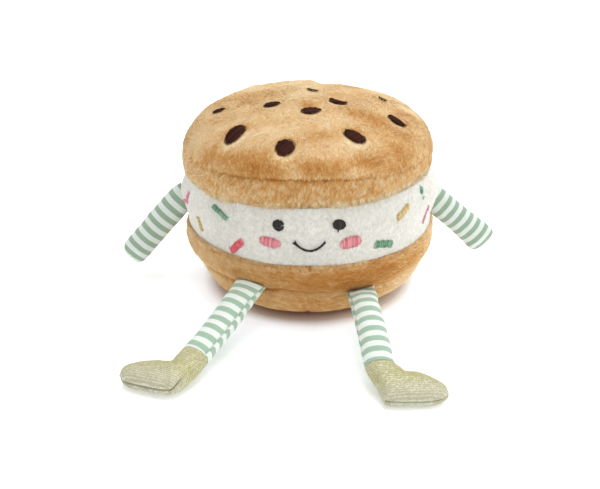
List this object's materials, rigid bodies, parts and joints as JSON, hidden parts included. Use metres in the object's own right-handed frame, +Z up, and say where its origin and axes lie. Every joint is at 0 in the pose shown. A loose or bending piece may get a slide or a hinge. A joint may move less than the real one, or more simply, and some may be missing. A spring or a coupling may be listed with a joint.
{
  "type": "plush ice cream sandwich toy",
  "caption": "Stuffed toy cookie ice cream sandwich: tan plush cookies round a white plush drum with a stitched face, striped arms and legs, and knit feet.",
  "frame": {"origin": "middle of the lower cookie's flat underside, on the surface that the toy sits on", "axes": "+Z up through the middle of the stack, the face looks along -Y, +X to the viewer's right when facing it"},
  "size_m": [0.2306, 0.2166, 0.1174],
  "materials": {
    "cookie_plush": "short-pile plush, tan",
    "ice_cream_plush": "short-pile plush, warm white",
    "striped_cotton": "woven cotton, sage and white stripes",
    "glitter_knit": "ribbed knit with metallic thread",
    "chocolate_thread": "satin-stitch embroidery",
    "black_thread": "satin-stitch embroidery",
    "pink_thread": "satin-stitch embroidery",
    "sprinkle_thread": "satin-stitch embroidery in green, red, mustard and pink"
  },
  "bodies": {
    "root": {"cookie_bottom": "cookie_plush", "ice_cream_band": "ice_cream_plush", "cookie_top": "cookie_plush", "arm_left": "striped_cotton", "arm_right": "striped_cotton", "leg_left": "striped_cotton", "leg_right": "striped_cotton", "foot_left": "glitter_knit", "foot_right": "glitter_knit", "chip_01": "chocolate_thread", "chip_02": "chocolate_thread", "chip_03": "chocolate_thread", "chip_04": "chocolate_thread", "chip_05": "chocolate_thread", "chip_06": "chocolate_thread", "chip_07": "chocolate_thread", "chip_08": "chocolate_thread", "chip_09": "chocolate_thread", "chip_10": "chocolate_thread", "chip_11": "chocolate_thread", "chip_12": "chocolate_thread", "chip_13": "chocolate_thread", "chip_14": "chocolate_thread", "chip_15": "chocolate_thread", "eye_left": "black_thread", "eye_right": "black_thread", "cheek_left": "pink_thread", "cheek_right": "pink_thread", "smile": "black_thread"}
  },
  "joints": []
}
